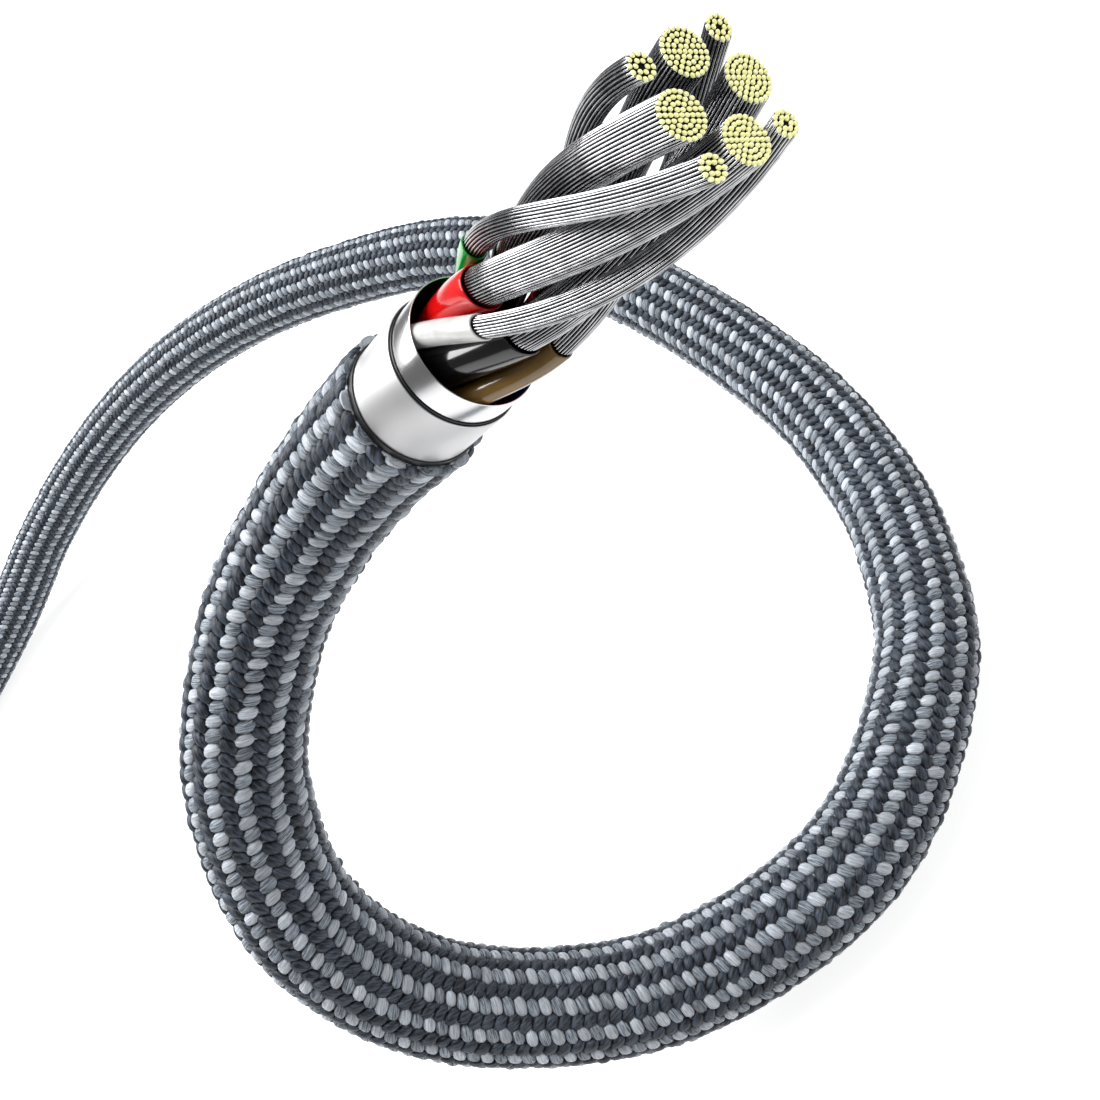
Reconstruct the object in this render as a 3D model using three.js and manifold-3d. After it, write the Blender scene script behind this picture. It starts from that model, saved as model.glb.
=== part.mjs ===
// A braided charging cable, cut open at one end so that its layers show, with the rest of its
// length wound in a round coil and a USB-C plug lying on the coil. Millimetres, +Z up.
import * as THREE from 'three';
import { mergeVertices } from 'three/addons/utils/BufferGeometryUtils.js';
import Module from 'manifold-3d';

const wasm = await Module();
wasm.setup();

// The cable and the layers inside it, from the braid inwards.
const cable_diameter = 4.5;
const cable_sides = 12;
const route_steps = 60;
const lead_steps = 30;
const bore_depth = 3.4;
const jacket_diameter = 4.06;
const jacket_wall = 0.04;
const jacket_out = 0.22;
const layer_clearance = 0.015;
const outer_sleeve_wall = 0.045;
const outer_sleeve_out = 2.48;
const film_wall = 0.02;
const film_out = 0.08;
const inner_sleeve_wall = 0.04;
const inner_sleeve_out = 1.1;
const layer_sides = 24;
const seat_gap = 0.3;

// The eight cores. Four large ones lie round the middle, four small ones in the hollows outside.
const large_core_radius = 0.62;
const small_core_radius = 0.36;
const insulation_wall = 0.1;
const small_insulation_wall = 0.05;
const conductor_clearance = 0.02;
const core_gap = 0.04;
const fan_out = 0.13;
const insulation_out = 2.17;
const conductor_out = 7.17;
const core_depth = 1.5;
const lay_turn = THREE.MathUtils.degToRad(127);
const lay_roll = THREE.MathUtils.degToRad(12.1);
const cut_slope = [0.146, 0.138];
const flute_depth = 0.045;
const large_sides = 14;
const small_sides = 10;
const large_flutes = 12;
const small_flutes = 8;
const insulation_steps = 6;
const conductor_steps = 12;

// The coil: a lower layer of turns on the floor and a narrower upper layer on top of it.
const coil_radius = 24;
const turn_pitch = 4.6;
const layer_rise = 4.4;
const lower_turns = 3;
const upper_turns = 2;
const coil_centre = [-43.0, -0.6];
const coil_entry_angle = THREE.MathUtils.degToRad(-20.8);
const coil_corner = 1.3;
const coil_sides = 36;

// The cable's lead from the top of the coil to the plug.
const climb_angle = THREE.MathUtils.degToRad(60);
const shift_angle = THREE.MathUtils.degToRad(60);
const lead_angle = THREE.MathUtils.degToRad(141.6);
const plug_inset = 4;
const lead_points_on_coil = 24;

// The plug. Its shell has the standard size.
const shell_width = 8.25;
const shell_height = 2.4;
const shell_out = 6.65;
const shell_wall = 0.3;
const shell_seat = 3;
const shell_corner_easing = 0.01;
const slot_width = 6.4;
const slot_height = 0.9;
const slot_depth = 5.4;
const slot_corner = 0.225;
const carrier_set_back = 0.5;
const housing_length = 20;
const housing_width = 11.4;
const housing_height = 6;
const housing_corner = 2.4;
const housing_edge = 0.5;
const corner_segments = 4;
const fit_clearance = 0.1;
const carrier_clearance = 0.05;
const relief_length = 12;
const relief_wall = 0.35;
const relief_flange = 2.8;
const relief_ribs = 4;
const relief_sides = 16;
const rib_depth = 0.22;
const rib_groove = 0.8;

// The stretch of cable that is not coiled, from the cut end to where it meets the coil.
const route = [
  [65.2, -15.7, 29.3], [62.0, -15.1, 27.8], [58.4, -15.6, 26.2], [54.6, -17.7, 24.2],
  [51.6, -21.7, 20.8], [51.0, -25.6, 15.6], [54.0, -27.4, 9.6], [60.9, -26.2, 4.4],
  [68.7, -21.4, 2.5], [73.0, -13.5, 2.4], [73.1, -6.2, 2.4], [71.7, -0.8, 2.9],
  [69.9, 3.2, 3.7], [67.5, 6.8, 4.8], [64.6, 10.4, 6.2], [60.8, 14.1, 8.0],
  [55.7, 17.6, 9.9], [49.4, 20.4, 11.5], [41.5, 22.3, 12.3], [32.6, 23.7, 12.5],
  [23.1, 24.4, 11.7], [13.5, 24.1, 9.9], [4.7, 22.2, 7.5], [-2.5, 18.5, 5.0],
  [-7.0, 13.0, 3.0], [-9.8, 6.4, 2.4], [-13.0, -2.2, 2.3],
].map((p) => new THREE.Vector3(...p));

const cable_radius = cable_diameter / 2;
const plug_chord = coil_radius - plug_inset;

// The radius of each turn of a layer, which starts at one side of the coil's middle radius and ends
// as far on the other.
function lanes(turns, direction) {
  const first = -direction * (turns - 1) / 2;
  return Array.from({ length: turns }, (_, n) => coil_radius + (first + direction * n) * turn_pitch);
}
const lower_lanes = lanes(lower_turns, -1);
const upper_lanes = lanes(upper_turns, 1);
const coil_outside = lower_lanes[0] + turn_pitch / 2;
const coil_inside = lower_lanes[lower_turns - 1] - turn_pitch / 2;
const upper_outside = upper_lanes[upper_turns - 1] + turn_pitch / 2;
const upper_inside = upper_lanes[0] - turn_pitch / 2;
const coil_top = cable_diameter + layer_rise;

const finish = (color, roughness, metalness) => new THREE.MeshStandardMaterial({ color, roughness, metalness });
const braid_grey = finish(0x6f7984, 0.75, 0);
const black_film = finish(0x101114, 0.4, 0);
const bright_foil = finish(0xd6d8da, 0.22, 1);
const tinned_copper = finish(0xb9babb, 0.35, 1);
const plug_grey = finish(0x5b626b, 0.5, 0);
const plated_steel = finish(0xc4c6c8, 0.25, 1);

const part = new THREE.Group();
part.name = 'cut_open_charging_cable';

function add(group, name, geometry, material) {
  const mesh = new THREE.Mesh(geometry, material);
  mesh.name = name;
  group.add(mesh);
  return mesh;
}

// A closed mesh as a solid that can be cut, and the cut solid back as a mesh.
function toSolid(geometry) {
  const bare = geometry.clone();
  bare.deleteAttribute('normal');
  bare.deleteAttribute('uv');
  const merged = mergeVertices(bare, 1e-5);
  return new wasm.Manifold(new wasm.Mesh({
    numProp: 3,
    vertProperties: new Float32Array(merged.attributes.position.array),
    triVerts: new Uint32Array(merged.index.array),
  }));
}

function toGeometry(solid) {
  const mesh = solid.getMesh();
  const geometry = new THREE.BufferGeometry();
  geometry.setAttribute('position', new THREE.BufferAttribute(new Float32Array(mesh.vertProperties), 3));
  geometry.setIndex(new THREE.BufferAttribute(new Uint32Array(mesh.triVerts), 1));
  return geometry;
}

// A round outline with the given number of corners.
function roundOutline(radius, sides, Kind = THREE.Shape) {
  const outline = new Kind();
  for (let i = 0; i < sides; i += 1) {
    const angle = (2 * Math.PI * i) / sides;
    const x = radius * Math.cos(angle);
    const y = radius * Math.sin(angle);
    if (i === 0) outline.moveTo(x, y);
    else outline.lineTo(x, y);
  }
  outline.closePath();
  return outline;
}

// A rectangle whose corners are quarter circles.
function roundedRectangle(width, height, corner, Kind = THREE.Shape) {
  const x = width / 2;
  const y = height / 2;
  const outline = new Kind();
  outline.moveTo(-x + corner, -y);
  outline.lineTo(x - corner, -y);
  outline.absarc(x - corner, -y + corner, corner, -Math.PI / 2, 0, false);
  outline.lineTo(x, y - corner);
  outline.absarc(x - corner, y - corner, corner, 0, Math.PI / 2, false);
  outline.lineTo(-x + corner, y);
  outline.absarc(-x + corner, y - corner, corner, Math.PI / 2, Math.PI, false);
  outline.lineTo(-x, -y + corner);
  outline.absarc(-x + corner, -y + corner, corner, Math.PI, 1.5 * Math.PI, false);
  return outline;
}

// A cable of round section along a curve.
function cableAlong(curve, steps) {
  return new THREE.ExtrudeGeometry(roundOutline(cable_radius, cable_sides), { steps, extrudePath: curve });
}

// A ring of rectangular section between two radii and two heights, turned about +Z.
function ring(inside, outside, low, high, sides) {
  const profile = [[inside, low], [outside, low], [outside, high], [inside, high], [inside, low]];
  return new THREE.LatheGeometry(profile.map((p) => new THREE.Vector2(...p)), sides).rotateX(Math.PI / 2);
}

// A round disc between two heights, turned about +Z.
function disc(radius, low, high, sides) {
  const profile = [[0, low], [radius, low], [radius, high], [0, high]];
  return new THREE.LatheGeometry(profile.map((p) => new THREE.Vector2(...p)), sides).rotateX(Math.PI / 2);
}

// The coil's outer shape, grown all round by a margin: a broad lower layer and a narrower upper one.
function coilRing(margin) {
  const c = coil_corner;
  const profile = [
    [coil_inside - margin, c - margin],
    [coil_inside + c - margin, -margin],
    [coil_outside - c + margin, -margin],
    [coil_outside + margin, c - margin],
    [coil_outside + margin, cable_diameter - c],
    [upper_outside + margin, coil_top - c],
    [upper_outside - c + margin, coil_top + margin],
    [upper_inside + c - margin, coil_top + margin],
    [upper_inside - margin, coil_top - c],
    [coil_inside - margin, cable_diameter - c],
  ];
  profile.push(profile[0]);
  const turned = new THREE.LatheGeometry(profile.map((p) => new THREE.Vector2(...p)), coil_sides);
  return turned.rotateX(Math.PI / 2).translate(coil_centre[0], coil_centre[1], 0);
}

// The cut end. Its frame has +Z out of the cut, along the cable's axis there, and +X turned from
// straight down by the roll of the cores.
const cut_end = new THREE.Group();
const out = route[0].clone().sub(route[1]).normalize();
const down = new THREE.Vector3(0, 0, -1).addScaledVector(out, out.z).normalize();
const across = down.applyAxisAngle(out, lay_roll);
cut_end.matrix.makeBasis(across, out.clone().cross(across), out);
cut_end.matrix.setPosition(route[0]);
cut_end.matrix.decompose(cut_end.position, cut_end.quaternion, cut_end.scale);
part.add(cut_end);

const jacket_radius = jacket_diameter / 2;
const outer_sleeve_radius = jacket_radius - jacket_wall - layer_clearance;
const film_radius = outer_sleeve_radius - outer_sleeve_wall - layer_clearance;
const inner_sleeve_radius = film_radius - film_wall - layer_clearance;
const layer_low = -bore_depth + seat_gap;
const film_end = outer_sleeve_out + film_out;
const sleeve_mouth = outer_sleeve_out + inner_sleeve_out;

const jacket = ring(jacket_radius - jacket_wall, jacket_radius, layer_low, jacket_out, layer_sides);
const outer_sleeve = ring(
  outer_sleeve_radius - outer_sleeve_wall, outer_sleeve_radius, layer_low, outer_sleeve_out, layer_sides,
);
const film = ring(film_radius - film_wall, film_radius, layer_low, film_end, layer_sides);
const inner_sleeve = ring(
  inner_sleeve_radius - inner_sleeve_wall, inner_sleeve_radius, layer_low, sleeve_mouth, layer_sides,
);
add(cut_end, 'inner_jacket', jacket, black_film);
add(cut_end, 'outer_shield_sleeve', outer_sleeve, bright_foil);
add(cut_end, 'separator_film', film, black_film);
add(cut_end, 'inner_foil_sleeve', inner_sleeve, bright_foil);

// The cores' pitch circles, from their radii and the gap between them.
const large_pitch = (2 * large_core_radius + core_gap) / Math.SQRT2;
const reach = large_core_radius + small_core_radius + core_gap;
const half_pitch = large_pitch * Math.SQRT1_2;
const small_pitch = half_pitch + Math.sqrt(reach * reach - half_pitch * half_pitch);
const insulation_end = sleeve_mouth + insulation_out;
const conductor_end = insulation_end + conductor_out;

// A core's section carried along its lay: it keeps its direction while its centre goes round the
// cable's axis, and past the sleeves the cores spread a little.
function layAlongCore(geometry, core, low) {
  const position = geometry.attributes.position;
  const pitch = core.large ? large_pitch : small_pitch;
  const end_angle = -THREE.MathUtils.degToRad(core.degrees);
  for (let i = 0; i < position.count; i += 1) {
    const z = low + position.getZ(i);
    const spread = THREE.MathUtils.smoothstep(z, sleeve_mouth, insulation_end);
    const radius = pitch * (1 + (spread * fan_out) / small_pitch);
    const along = (z - insulation_end) / conductor_out;
    const angle = end_angle - lay_turn * (1 - along);
    const x = radius * Math.cos(angle) + position.getX(i);
    const y = radius * Math.sin(angle) + position.getY(i);
    const slope = Math.max(along, 0) * (cut_slope[0] * x + cut_slope[1] * y);
    position.setXYZ(i, x, y, z + slope);
  }
  geometry.computeVertexNormals();
  return geometry;
}

// A bundle of bare strands: a round outline with one rounded flute for each outer strand.
function flutedOutline(radius, flutes) {
  const outline = new THREE.Shape();
  const corners = 2 * flutes;
  for (let i = 0; i < corners; i += 1) {
    const angle = (2 * Math.PI * i) / corners;
    const r = radius - (i % 2) * flute_depth;
    if (i === 0) outline.moveTo(r * Math.cos(angle), r * Math.sin(angle));
    else outline.lineTo(r * Math.cos(angle), r * Math.sin(angle));
  }
  outline.closePath();
  return outline;
}

const cores = [
  { name: 'white', degrees: 0, large: false, color: 0xe8e8e6 },
  { name: 'red', degrees: 45, large: true, color: 0xd01822 },
  { name: 'green', degrees: 90, large: false, color: 0x0f8a3a },
  { name: 'second_black', degrees: 135, large: true, color: 0x141416 },
  { name: 'blue', degrees: 180, large: false, color: 0x2458a8 },
  { name: 'second_red', degrees: 225, large: true, color: 0xd01822 },
  { name: 'brown', degrees: 270, large: false, color: 0x6a4f22 },
  { name: 'black', degrees: 315, large: true, color: 0x141416 },
];
const insulation_length = insulation_end + core_depth;
const conductor_length = conductor_end + core_depth;

for (const core of cores) {
  const radius = core.large ? large_core_radius : small_core_radius;
  const wall = core.large ? insulation_wall : small_insulation_wall;
  const sides = core.large ? large_sides : small_sides;
  const flutes = core.large ? large_flutes : small_flutes;
  const outline = roundOutline(radius, sides);
  outline.holes.push(roundOutline(radius - wall, sides, THREE.Path));
  const tube = new THREE.ExtrudeGeometry(outline, {
    depth: insulation_length, steps: insulation_steps, bevelEnabled: false,
  });
  const insulation = finish(core.color, 0.3, 0);
  add(cut_end, `${core.name}_insulation`, layAlongCore(tube, core, -core_depth), insulation);
  const bare_radius = (radius - wall) * Math.cos(Math.PI / sides) - conductor_clearance;
  const strands = new THREE.ExtrudeGeometry(flutedOutline(bare_radius, flutes), {
    depth: conductor_length, steps: conductor_steps, bevelEnabled: false,
  });
  add(cut_end, `${core.name}_conductor`, layAlongCore(strands, core, -core_depth), tinned_copper);
}

// The braided cable from the cut end to the coil, bored for the layers and cut where it joins the coil.
const entry = new THREE.Vector3(
  coil_centre[0] + lower_lanes[0] * Math.cos(coil_entry_angle),
  coil_centre[1] + lower_lanes[0] * Math.sin(coil_entry_angle),
  cable_radius,
);
const route_curve = new THREE.CatmullRomCurve3([...route, entry], false, 'catmullrom', 0.5);
const joint_cutter = toSolid(coilRing(seat_gap));
cut_end.updateMatrixWorld(true);
const bore = disc(jacket_radius + layer_clearance, -bore_depth, cable_diameter, layer_sides);
const bore_cutter = toSolid(bore.applyMatrix4(cut_end.matrixWorld));
const jacket_tube = toSolid(cableAlong(route_curve, route_steps)).subtract(bore_cutter).subtract(joint_cutter);
add(part, 'braided_cable', toGeometry(jacket_tube), braid_grey);
add(part, 'coiled_cable', coilRing(0), braid_grey);

// The plug's frame has +X along the plug, from the coil's tangent point, and lies on the coil.
const foot_angle = coil_entry_angle - lead_angle;
const heading = foot_angle - Math.PI / 2;
const plug = new THREE.Group();
const plug_height = coil_top + fit_clearance + housing_height / 2;
plug.position.set(
  coil_centre[0] + plug_chord * Math.cos(foot_angle),
  coil_centre[1] + plug_chord * Math.sin(foot_angle),
  plug_height,
);
plug.rotation.z = heading;
part.add(plug);

// The lead: it climbs from the upper outer turn to the top of the coil, shifts inwards on it and
// runs straight into the plug's strain relief.
const lead_points = [];
const lead_sweep = climb_angle + shift_angle + lead_angle;
const on_top = coil_top + cable_radius + fit_clearance;
for (let i = 0; i < lead_points_on_coil; i += 1) {
  const turned = (lead_sweep * i) / lead_points_on_coil;
  const climbed = THREE.MathUtils.smoothstep(turned, 0, climb_angle);
  const shifted = THREE.MathUtils.smoothstep(turned, climb_angle, lead_sweep);
  const raised = THREE.MathUtils.smoothstep(turned, lead_sweep - shift_angle, lead_sweep);
  const radius = THREE.MathUtils.lerp(upper_lanes[upper_turns - 1], plug_chord, shifted);
  const low = THREE.MathUtils.lerp(cable_radius + layer_rise, on_top, climbed);
  const angle = foot_angle + lead_sweep - turned;
  lead_points.push(new THREE.Vector3(
    coil_centre[0] + radius * Math.cos(angle),
    coil_centre[1] + radius * Math.sin(angle),
    THREE.MathUtils.lerp(low, plug_height, raised),
  ));
}
plug.updateMatrixWorld(true);
const points_in_relief = 4;
const lead_stop = relief_length / 10;
for (let i = 0; i < points_in_relief; i += 1) {
  const x = ((relief_length - lead_stop) * i) / (points_in_relief - 1);
  lead_points.push(new THREE.Vector3(x, 0, 0).applyMatrix4(plug.matrixWorld));
}
const lead_curve = new THREE.CatmullRomCurve3(lead_points, false, 'catmullrom', 0.5);
const lead = toSolid(cableAlong(lead_curve, lead_steps)).subtract(joint_cutter);
add(part, 'cable_lead', toGeometry(lead), braid_grey);

// A tapered strain relief with grooves round it.
const relief_bore = cable_radius + fit_clearance;
const relief_tip = relief_bore + relief_wall;
const relief_profile = [[relief_bore, 0], [relief_tip, 0]];
const rib_pitch = relief_length / (relief_ribs + 2);
for (let i = 1; i <= relief_ribs; i += 1) {
  const at = i * rib_pitch;
  const radius = THREE.MathUtils.lerp(relief_tip, relief_flange, at / relief_length);
  const half = rib_groove / 2;
  relief_profile.push([radius, at - half], [radius - rib_depth, at - half / 2]);
  relief_profile.push([radius - rib_depth, at + half / 2], [radius, at + half]);
}
relief_profile.push([relief_flange, relief_length - fit_clearance]);
relief_profile.push([relief_bore, relief_length - fit_clearance], [relief_bore, 0]);
const relief = new THREE.LatheGeometry(relief_profile.map((p) => new THREE.Vector2(...p)), relief_sides);
add(plug, 'strain_relief', relief.rotateX(Math.PI / 2).rotateY(Math.PI / 2), plug_grey);

// Turns an outline's extrusion so that it runs along +X with the outline's width along +Y.
const along_plug = new THREE.Matrix4().makeBasis(
  new THREE.Vector3(0, 1, 0), new THREE.Vector3(0, 0, 1), new THREE.Vector3(1, 0, 0),
);

function extrudeAlongPlug(outline, start, depth, edge = 0) {
  const geometry = new THREE.ExtrudeGeometry(outline, {
    depth: depth - 2 * edge,
    bevelEnabled: edge > 0,
    bevelThickness: edge,
    bevelSize: edge,
    bevelOffset: -edge,
    bevelSegments: 1,
    curveSegments: corner_segments,
  });
  return geometry.translate(0, 0, start + edge).applyMatrix4(along_plug);
}

const housing_end = relief_length + housing_length;
const shell_start = housing_end - shell_seat;
const shell_end = housing_end + shell_out;
const shell_corner = shell_height / 2;
const shell_bore_width = shell_width - 2 * shell_wall;
const shell_bore_height = shell_height - 2 * shell_wall;

const pocket = roundedRectangle(
  shell_width + 2 * fit_clearance, shell_height + 2 * fit_clearance, shell_corner,
);
const pocket_solid = toSolid(extrudeAlongPlug(pocket, shell_start - fit_clearance, 2 * shell_seat));
const housing_outline = roundedRectangle(housing_width, housing_height, housing_corner);
const housing_solid = toSolid(extrudeAlongPlug(housing_outline, relief_length, housing_length, housing_edge));
add(plug, 'plug_housing', toGeometry(housing_solid.subtract(pocket_solid)), plug_grey);

const shell_outline = roundedRectangle(shell_width, shell_height, shell_corner - shell_corner_easing);
const shell_hole = roundedRectangle(
  shell_bore_width, shell_bore_height, shell_corner - shell_wall - shell_corner_easing, THREE.Path,
);
shell_outline.holes.push(shell_hole);
add(plug, 'plug_shell', extrudeAlongPlug(shell_outline, shell_start, shell_end - shell_start), plated_steel);

const carrier_width = shell_bore_width - 2 * carrier_clearance;
const carrier_height = shell_bore_height - 2 * carrier_clearance;
const carrier_outline = roundedRectangle(carrier_width, carrier_height, carrier_height / 2 - shell_corner_easing);
const carrier_end = shell_end - carrier_set_back;
const carrier = toSolid(extrudeAlongPlug(carrier_outline, shell_start, carrier_end - shell_start));
const slot_outline = roundedRectangle(slot_width, slot_height, slot_corner);
const slot_length = slot_depth + carrier_set_back;
const slot = toSolid(extrudeAlongPlug(slot_outline, carrier_end - slot_depth, slot_length));
add(plug, 'contact_carrier', toGeometry(carrier.subtract(slot)), black_film);

export default part;
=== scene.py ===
"""A braided charging cable, cut open at one end, with the rest wound in a coil under its plug."""
import math
from functools import partial

import bmesh
import bpy
import numpy as np
from mathutils import Matrix


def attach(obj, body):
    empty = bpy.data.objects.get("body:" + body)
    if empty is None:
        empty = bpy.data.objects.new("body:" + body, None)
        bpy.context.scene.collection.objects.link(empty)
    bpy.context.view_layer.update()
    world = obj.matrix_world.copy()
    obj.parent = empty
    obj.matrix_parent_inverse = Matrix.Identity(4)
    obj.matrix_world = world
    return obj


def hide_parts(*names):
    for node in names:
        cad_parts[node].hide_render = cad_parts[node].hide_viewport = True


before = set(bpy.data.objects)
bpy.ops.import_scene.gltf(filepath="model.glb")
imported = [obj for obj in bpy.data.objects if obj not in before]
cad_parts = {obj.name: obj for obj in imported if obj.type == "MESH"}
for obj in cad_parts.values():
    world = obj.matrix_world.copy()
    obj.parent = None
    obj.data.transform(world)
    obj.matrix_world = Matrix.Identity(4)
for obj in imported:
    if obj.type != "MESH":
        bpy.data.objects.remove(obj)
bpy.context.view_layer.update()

# The camera stands close in front of the cut end and looks down on the loop, as the photograph does.
# Its lens is the one whose picture, 36 mm wide, shows the fanned cores larger than the far cable.
mm = 0.001
camera_place = (79.93 * mm, -35.56 * mm, 44.92 * mm)
camera_right = (0.8526, 0.02752, -0.52185)
camera_up = (0.28076, 0.81812, 0.50185)
camera_forward = (-0.44074, 0.57439, -0.6898)
camera_data = bpy.data.cameras.new("photo_camera")
camera_data.sensor_width = 36.0
camera_data.lens = 32.73
camera_data.clip_start = 1 * mm
camera = bpy.data.objects.new("photo_camera", camera_data)
bpy.context.scene.collection.objects.link(camera)
camera.matrix_world = Matrix((
    (camera_right[0], camera_up[0], -camera_forward[0], camera_place[0]),
    (camera_right[1], camera_up[1], -camera_forward[1], camera_place[1]),
    (camera_right[2], camera_up[2], -camera_forward[2], camera_place[2]),
    (0, 0, 0, 1),
))
bpy.context.scene.camera = camera

# The cable's core under its braid: one round cord a metre long. It springs up at the cut end, goes
# round one loop on the floor, rises in a low arch and runs into the coil. All lengths are in mm
# until they are put into a mesh.
cable_diameter = 4.5
cable_radius = cable_diameter / 2
coil_radius = 24.0
turn_pitch = 4.6
layer_rise = 4.4
lower_lanes = (1.0, 0.0, -1.0)
upper_lanes = (-0.5, 0.5)
coil_turns = len(lower_lanes) + len(upper_lanes)
coil_count = 240
coil_centre = (-43.0, -0.6)
coil_entry_angle = math.radians(-20.8)
lead_angle = math.radians(141.6)
change_angle = math.radians(60)
lead_gap = 0.1
plug_chord = 20.0
plug_height = 12.0
relief_length = 12.0
relief_shares = (0.3, 0.6, 0.9)
span_points = 24
route = np.array([
    (65.2, -15.7, 29.3), (62.0, -15.1, 27.8), (58.4, -15.6, 26.2), (54.6, -17.7, 24.2),
    (51.6, -21.7, 20.8), (51.0, -25.6, 15.6), (54.0, -27.4, 9.6), (60.9, -26.2, 4.4),
    (68.7, -21.4, 2.5), (73.0, -13.5, 2.4), (73.1, -6.2, 2.4), (71.7, -0.8, 2.9),
    (69.9, 3.2, 3.7), (67.5, 6.8, 4.8), (64.6, 10.4, 6.2), (60.8, 14.1, 8.0),
    (55.7, 17.6, 9.9), (49.4, 20.4, 11.5), (41.5, 22.3, 12.3), (32.6, 23.7, 12.5),
    (23.1, 24.4, 11.7), (13.5, 24.1, 9.9), (4.7, 22.2, 7.5), (-2.5, 18.5, 5.0),
    (-7.0, 13.0, 3.0), (-9.8, 6.4, 2.4), (-13.0, -2.2, 2.3),
])


def smooth(x, low, high):
    """Goes from 0 at low to 1 at high, level at both ends: 3t^2 - 2t^3 of the clamped share t."""
    t = np.clip((x - low) / (high - low), 0.0, 1.0)
    return t * t * (3.0 - 2.0 * t)


def unit(vectors):
    """Each vector divided by its length."""
    return vectors / np.linalg.norm(vectors, axis=-1, keepdims=True)


def spline(points, per_span):
    """A Catmull-Rom curve: in each span a cubic through both points, whose slope at a point is half
    the step between its neighbours. Past the ends the first and last steps are repeated."""
    padded = np.vstack([2 * points[0] - points[1], points, 2 * points[-1] - points[-2]])
    a, b, c, d = (padded[n:len(points) - 1 + n, None, :] for n in range(4))
    t = np.linspace(0.0, 1.0, per_span, endpoint=False)[None, :, None]
    curve = 0.5 * (2 * b + (c - a) * t + (2 * a - 5 * b + 4 * c - d) * t**2
                   + (3 * b - a - 3 * c + d) * t**3)
    return np.vstack([curve.reshape(-1, 3), points[-1]])


def coil_points(swept):
    """Where the cord is after an angle turned in the coil. It goes round clockwise. Each turn keeps
    to its lane, some pitches outside the coil's radius, and moves to the next over its last sixth;
    it climbs a layer over the sixth before."""
    turn = 2 * math.pi
    lanes = [coil_radius + lane * turn_pitch for lane in lower_lanes + upper_lanes]
    radius = np.full_like(swept, lanes[0])
    for n in range(1, len(lanes)):
        radius += (lanes[n] - lanes[n - 1]) * smooth(swept, n * turn - change_angle, n * turn)
    height = np.full_like(swept, cable_radius)
    up = len(lower_lanes) * turn - change_angle
    height += layer_rise * smooth(swept, up - change_angle, up)
    lead = len(lanes) * turn - 2 * change_angle
    end = len(lanes) * turn + lead_angle
    on_top = cable_diameter + layer_rise + cable_radius + lead_gap
    height += (on_top - cable_radius - layer_rise) * smooth(swept, lead, lead + change_angle)
    radius += (plug_chord - lanes[-1]) * smooth(swept, lead + change_angle, end)
    height += (plug_height - on_top) * smooth(swept, end - change_angle, end)
    angle = coil_entry_angle - swept
    x = coil_centre[0] + radius * np.cos(angle)
    y = coil_centre[1] + radius * np.sin(angle)
    return np.column_stack([x, y, height])


coil_sweep = coil_turns * 2 * math.pi + lead_angle
coil = coil_points(np.linspace(0.0, coil_sweep, coil_count))
foot_angle = coil_entry_angle - lead_angle
plug_heading = foot_angle - math.pi / 2
plug_foot = np.array([
    coil_centre[0] + plug_chord * math.cos(foot_angle),
    coil_centre[1] + plug_chord * math.sin(foot_angle),
    plug_height,
])
plug_along = np.array([math.cos(plug_heading), math.sin(plug_heading), 0.0])
in_relief = plug_foot + np.array(relief_shares)[:, None] * relief_length * plug_along
control = np.vstack([route, coil, in_relief])
fine = spline(control, span_points)
fine_steps = np.linalg.norm(np.diff(fine, axis=0), axis=1)
fine_run = np.concatenate([[0.0], np.cumsum(fine_steps)])
cord_length = fine_run[-1]
step = 0.1
run = np.arange(0.0, cord_length, step)
line = np.column_stack([np.interp(run, fine_run, fine[:, n]) for n in range(3)])
tangent = unit(np.gradient(line, axis=0))

# The frame across the cord: a level side vector, turned back by the angle it has turned about the
# cord so far, which leaves a frame that never twists.
side = unit(np.cross(tangent, (0.0, 0.0, 1.0)))
over = np.cross(side, tangent)
turning = np.concatenate([[0.0], np.cumsum(np.sum(np.diff(side, axis=0) * over[1:], axis=1))])
across = side * np.cos(turning)[:, None] - over * np.sin(turning)[:, None]
upward = np.cross(across, tangent)


def on_cord(along, angle, radius):
    """The point at a distance along the cord, at an angle round it and a radius from its middle:
    middle + radius (cos(angle) across + sin(angle) upward), with the frame read off the line."""
    def at(values):
        """The values of the line's points, read off at the distance along."""
        return np.stack([np.interp(along, run, values[:, n]) for n in range(3)], axis=-1)

    round_it = np.cos(angle)[..., None] * at(across) + np.sin(angle)[..., None] * at(upward)
    return at(line) + radius[..., None] * round_it


weld_distance = 0.0002


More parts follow.
